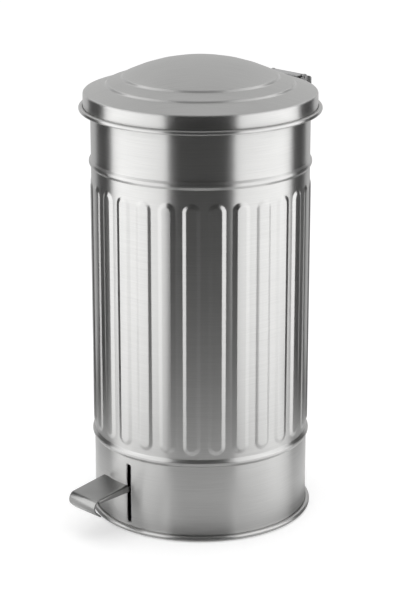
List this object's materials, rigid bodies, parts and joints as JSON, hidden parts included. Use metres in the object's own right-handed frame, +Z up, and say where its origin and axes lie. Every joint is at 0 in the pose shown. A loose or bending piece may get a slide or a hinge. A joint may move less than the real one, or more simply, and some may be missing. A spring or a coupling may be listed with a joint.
{
  "type": "pedal bin",
  "caption": "Round ribbed steel pedal bin: a side-armed pedal lifts a stepped, domed lid through a lever and push rod, over a lift-out bucket with a bail.",
  "frame": {"origin": "on the floor under the bin's axis: the centre of the standing ring's lower face", "axes": "+Z up along the bin's axis, -Y towards the pedal, +Y towards the hinge of the lid"},
  "size_m": [0.332, 0.4002, 0.6441],
  "materials": {
    "brushed_sheet": "stainless sheet, brushed around the bin",
    "pedal_steel": "stainless sheet, satin",
    "hinge_steel": "stainless sheet, satin",
    "zinc_steel": "zinc-plated steel",
    "bright_wire": "bright drawn wire",
    "black_plastic": "moulded, fine grain",
    "black_rubber": "matt"
  },
  "bodies": {
    "bin_body": {"outer_shell": "brushed_sheet", "base_pan": "brushed_sheet", "floor_ring": "black_rubber", "inner_floor": "zinc_steel", "rod_grommet": "black_plastic", "rod_guide": "black_plastic", "guide_rivets": "zinc_steel", "hinge_bracket": "hinge_steel", "hinge_bracket_rivets": "zinc_steel", "hinge_pin": "hinge_steel", "hinge_pin_clip": "hinge_steel", "pivot_bracket": "zinc_steel", "pivot_bracket_rivets": "zinc_steel", "pivot_pin": "zinc_steel", "pivot_pin_clip": "zinc_steel"},
    "pedal_lever": {"pedal_tread": "pedal_steel", "lever_bar": "zinc_steel", "lever_rivets": "zinc_steel", "pivot_bush": "black_plastic"},
    "rod": {"push_rod": "zinc_steel", "rod_foot": "black_plastic", "rod_tip": "black_plastic"},
    "lid": {"lid_shell": "brushed_sheet", "hinge_tongue": "hinge_steel", "lid_striker": "zinc_steel", "lid_bumpers": "black_rubber"},
    "bucket": {"inner_bucket": "black_plastic"},
    "bail": {"bail_wire": "bright_wire", "bail_grip": "black_plastic"}
  },
  "joints": [
    {"name": "lid_hinge", "type": "hinge", "parent": "bin_body", "child": "lid", "pos_m": [0, 0.175, 0.5958], "axis": [-1, 0, 0], "range_deg": [0, 66]},
    {"name": "pedal_pivot", "type": "hinge", "parent": "bin_body", "child": "pedal_lever", "pos_m": [0.0085, -0.06, 0.058], "axis": [1, 0, 0], "range_deg": [0, 13.31]},
    {"name": "rod_slide", "type": "slide", "parent": "bin_body", "child": "rod", "axis": [0, 0, 1], "range_m": [0, 0.04642]},
    {"name": "bucket_lift", "type": "slide", "parent": "bin_body", "child": "bucket", "axis": [0, 0, 1], "range_m": [0, 0.01]},
    {"name": "bail_swing", "type": "hinge", "parent": "bucket", "child": "bail", "pos_m": [0, 0, 0.485], "axis": [-1, 0, 0], "range_deg": [0, 90]}
  ],
  "couplings": [
    {"joint": "pedal_pivot", "follows": "lid_hinge", "ratio": 0.20151},
    {"joint": "rod_slide", "follows": "lid_hinge", "m_per_rad": 0.040281}
  ]
}
